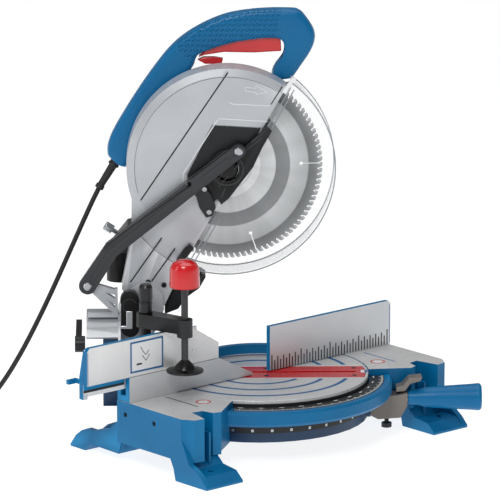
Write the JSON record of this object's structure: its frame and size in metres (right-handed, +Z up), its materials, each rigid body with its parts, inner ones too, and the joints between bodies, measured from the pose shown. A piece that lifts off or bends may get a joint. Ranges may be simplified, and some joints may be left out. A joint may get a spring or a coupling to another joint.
{
  "type": "compound mitre saw",
  "caption": "Bench-top compound mitre saw with a swivelling table, bevelling column, chopping blade head, clear guard, fences and clamp",
  "frame": {"origin": "centre of the saw footprint on the floor, cord left out", "axes": "+X along the fence to the operator right, -Y towards the operator, +Z up"},
  "size_m": [0.6501, 0.554, 0.5724],
  "materials": {
    "blue_enamel": "semi-gloss",
    "blue_plastic": "moulded",
    "cast_silver": "satin",
    "bare_table": "machined",
    "plain_steel": "brushed",
    "black_steel": "satin",
    "chrome_plate": "polished",
    "black_plastic": "moulded",
    "red_plastic": "gloss",
    "clear_plastic": "clear",
    "grey_enamel": "satin",
    "scale_plate": "satin",
    "dark_blue_frame": "satin",
    "lead_rubber": "matte"
  },
  "bodies": {
    "base": {"base_casting": "blue_enamel", "mitre_scale": "scale_plate", "fence_casting": "cast_silver", "fence_bolt_1": "black_steel", "fence_bolt_2": "black_steel", "fence_bolt_3": "black_steel", "fence_bolt_4": "black_steel"},
    "fence": {"sliding_fence": "bare_table"},
    "fence_lever": {"fence_lock_lever": "blue_plastic"},
    "clamp_column": {"clamp_post": "black_steel"},
    "clamp_bar": {"clamp_arm": "black_steel"},
    "clamp_screw": {"clamp_spindle": "black_steel", "clamp_knob": "red_plastic", "clamp_foot": "black_steel"},
    "turntable": {"turntable": "bare_table", "kerf_insert": "red_plastic", "turntable_frame": "dark_blue_frame", "pivot_bolt": "plain_steel", "control_arm": "grey_enamel", "arm_foot_screw": "black_plastic", "lock_rod": "plain_steel"},
    "mitre_grip": {"mitre_handle": "blue_plastic"},
    "detent": {"detent_lever": "grey_enamel"},
    "tilt": {"bevel_drum": "cast_silver", "chop_shaft": "plain_steel", "link_anchor": "cast_silver", "bevel_bracket": "black_plastic", "bevel_pointer": "chrome_plate", "cord_tube": "lead_rubber", "cord_coil": "lead_rubber", "plug": "black_plastic"},
    "bevel_lever": {"bevel_lock_lever": "black_plastic"},
    "head": {"head_casting": "cast_silver", "recess_panel": "black_plastic", "guard_catch_plate": "black_steel", "edge_clip": "black_steel", "dust_chute": "black_plastic", "dust_port": "black_plastic", "gear_housing": "cast_silver", "motor_housing": "blue_plastic", "motor_cap": "black_plastic", "brush_cap_1": "black_plastic", "brush_cap_2": "black_plastic", "handle_shell_left": "blue_plastic", "handle_shell_right": "blue_plastic", "strain_relief": "lead_rubber"},
    "stop_screw": {"depth_stop_screw": "plain_steel"},
    "blade": {"blade": "plain_steel", "arbor_shaft": "plain_steel", "outer_flange": "plain_steel", "inner_flange": "plain_steel", "arbor_bolt": "black_steel"},
    "guard": {"lower_guard": "clear_plastic", "guard_hub": "black_plastic", "guard_hub_cap": "black_plastic"},
    "link": {"link_bar": "black_steel", "link_lower_pin": "plain_steel", "link_upper_pin": "plain_steel"},
    "trigger": {"trigger": "red_plastic"},
    "tab": {"release_tab": "red_plastic"}
  },
  "joints": [
    {"name": "mitre_swivel", "type": "hinge", "parent": "base", "child": "turntable", "pos_m": [0.039, -0.005, 0], "axis": [0, 0, 1], "range_deg": [-100, 0]},
    {"name": "bevel_tilt", "type": "hinge", "parent": "turntable", "child": "tilt", "pos_m": [0.039, -0.005, 0.085], "axis": [0.766, -0.6428, 0], "range_deg": [0, 16]},
    {"name": "head_chop", "type": "hinge", "parent": "tilt", "child": "head", "pos_m": [-0.07744, 0.0927, 0.189], "axis": [-0.6428, -0.766, 0], "range_deg": [-55, 0], "stiffness_Nm_per_rad": 14, "springref_deg": 80.21},
    {"name": "guard_swing", "type": "hinge", "parent": "head", "child": "guard", "pos_m": [0.00683, 0.022, 0.3695], "axis": [-0.6428, -0.766, 0], "range_deg": [0, 117.7]},
    {"name": "link_swing", "type": "hinge", "parent": "tilt", "child": "link", "pos_m": [-0.13489, 0.14091, 0.214], "axis": [-0.6428, -0.766, 0], "range_deg": [-39.33, 0]},
    {"name": "blade_spin", "type": "hinge", "parent": "head", "child": "blade", "pos_m": [0.00683, 0.022, 0.3695], "axis": [-0.6428, -0.766, 0], "continuous": true},
    {"name": "trigger_pull", "type": "hinge", "parent": "head", "child": "trigger", "pos_m": [0.00721, 0.07846, 0.509], "axis": [-0.6428, -0.766, 0], "range_deg": [0, 3.5], "stiffness_Nm_per_rad": 2, "springref_deg": -8.59},
    {"name": "release_tab_push", "type": "slide", "parent": "head", "child": "tab", "axis": [0.6428, 0.766, 0], "range_m": [0, 0.003], "stiffness_N_per_m": 150, "springref_m": -0.002},
    {"name": "depth_stop_turn", "type": "hinge", "parent": "head", "child": "stop_screw", "pos_m": [-0.09299, 0.10575, 0.267], "axis": [-0.6374, 0.5348, 0.5547], "continuous": true},
    {"name": "mitre_lock_turn", "type": "hinge", "parent": "turntable", "child": "mitre_grip", "pos_m": [0.19221, -0.13356, 0.049], "axis": [0.766, -0.6428, 0], "range_deg": [-90, 0]},
    {"name": "detent_lift", "type": "hinge", "parent": "turntable", "child": "detent", "pos_m": [0.18225, -0.1252, 0.061], "axis": [-0.6428, -0.766, 0], "range_deg": [0, 8], "stiffness_Nm_per_rad": 1, "springref_deg": -17.19},
    {"name": "bevel_lock_turn", "type": "hinge", "parent": "turntable", "child": "bevel_lever", "pos_m": [-0.14102, 0.14606, 0.125], "axis": [-0.766, 0.6428, 0], "range_deg": [-40, 0]},
    {"name": "fence_slide", "type": "slide", "parent": "base", "child": "fence", "axis": [1, 0, 0], "range_m": [0, 0.04]},
    {"name": "fence_lock_turn", "type": "hinge", "parent": "fence", "child": "fence_lever", "pos_m": [-0.259, 0.007, 0.122], "axis": [0, 1, 0], "range_deg": [0, 90]},
    {"name": "clamp_height", "type": "slide", "parent": "base", "child": "clamp_column", "axis": [0, 0, 1], "range_m": [0, 0.03]},
    {"name": "clamp_swing", "type": "hinge", "parent": "clamp_column", "child": "clamp_bar", "pos_m": [-0.136, 0.02, 0.18], "axis": [0, 0, -1], "range_deg": [-5, 30]},
    {"name": "clamp_feed", "type": "slide", "parent": "clamp_bar", "child": "clamp_screw", "axis": [0, 0, 1], "range_m": [-0.034, 0.03]}
  ],
  "couplings": [
    {"joint": "guard_swing", "follows": "head_chop", "ratio": -2.14},
    {"joint": "link_swing", "follows": "head_chop", "ratio": 0.715}
  ]
}
